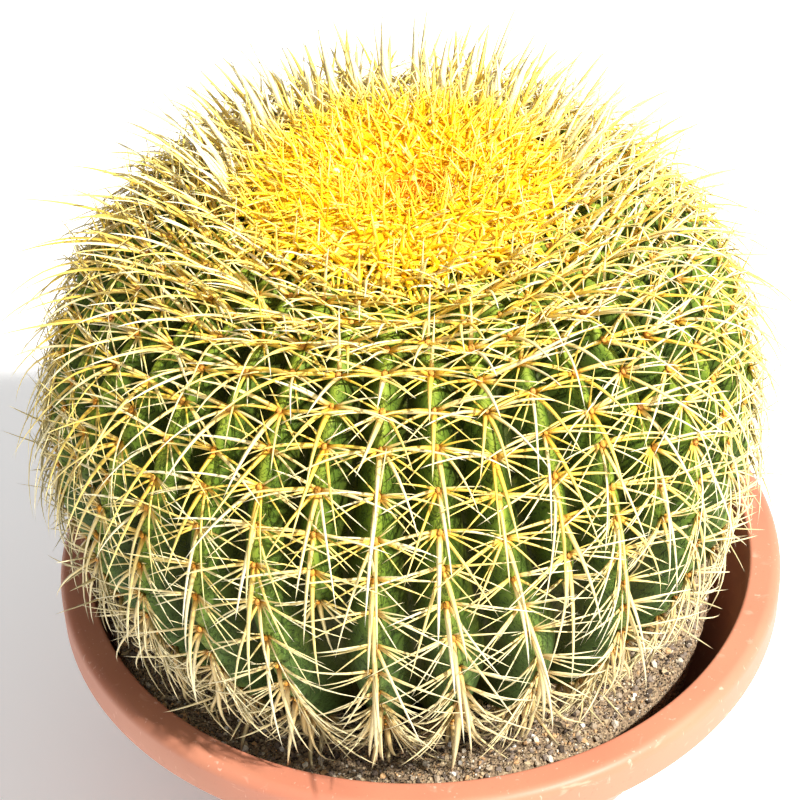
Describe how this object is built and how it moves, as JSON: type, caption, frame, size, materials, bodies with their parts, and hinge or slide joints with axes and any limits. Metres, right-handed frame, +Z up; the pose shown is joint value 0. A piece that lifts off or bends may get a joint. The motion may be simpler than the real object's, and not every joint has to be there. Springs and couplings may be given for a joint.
{
  "type": "potted round cactus",
  "caption": "Round ribbed cactus with golden curved spines and a woolly yellow crown, standing in gritty soil in a broad-rimmed terracotta-coloured plastic bowl.",
  "frame": {"origin": "centre of the pot's flat foot, on the surface that it stands on", "axes": "+Z up along the pot's axis; the picture looks along +Y and down, with +X to its right"},
  "size_m": [0.4421, 0.4441, 0.4658],
  "materials": {
    "pot": "terracotta-coloured moulded plastic with a satin sheen and light scuffs",
    "soil": "rough gritty cactus soil of grey-brown, tan and pale grains",
    "cactus_skin": "smooth waxy green skin, paler along the rib crests",
    "spines": "hard horny spines, golden at the root and straw to cream outward",
    "crown_wool": "dense golden yellow wool with young spines standing in it"
  },
  "bodies": {
    "root": {"pot": "pot", "soil": "soil", "cactus": "cactus_skin", "crown": "crown_wool"}
  },
  "joints": []
}
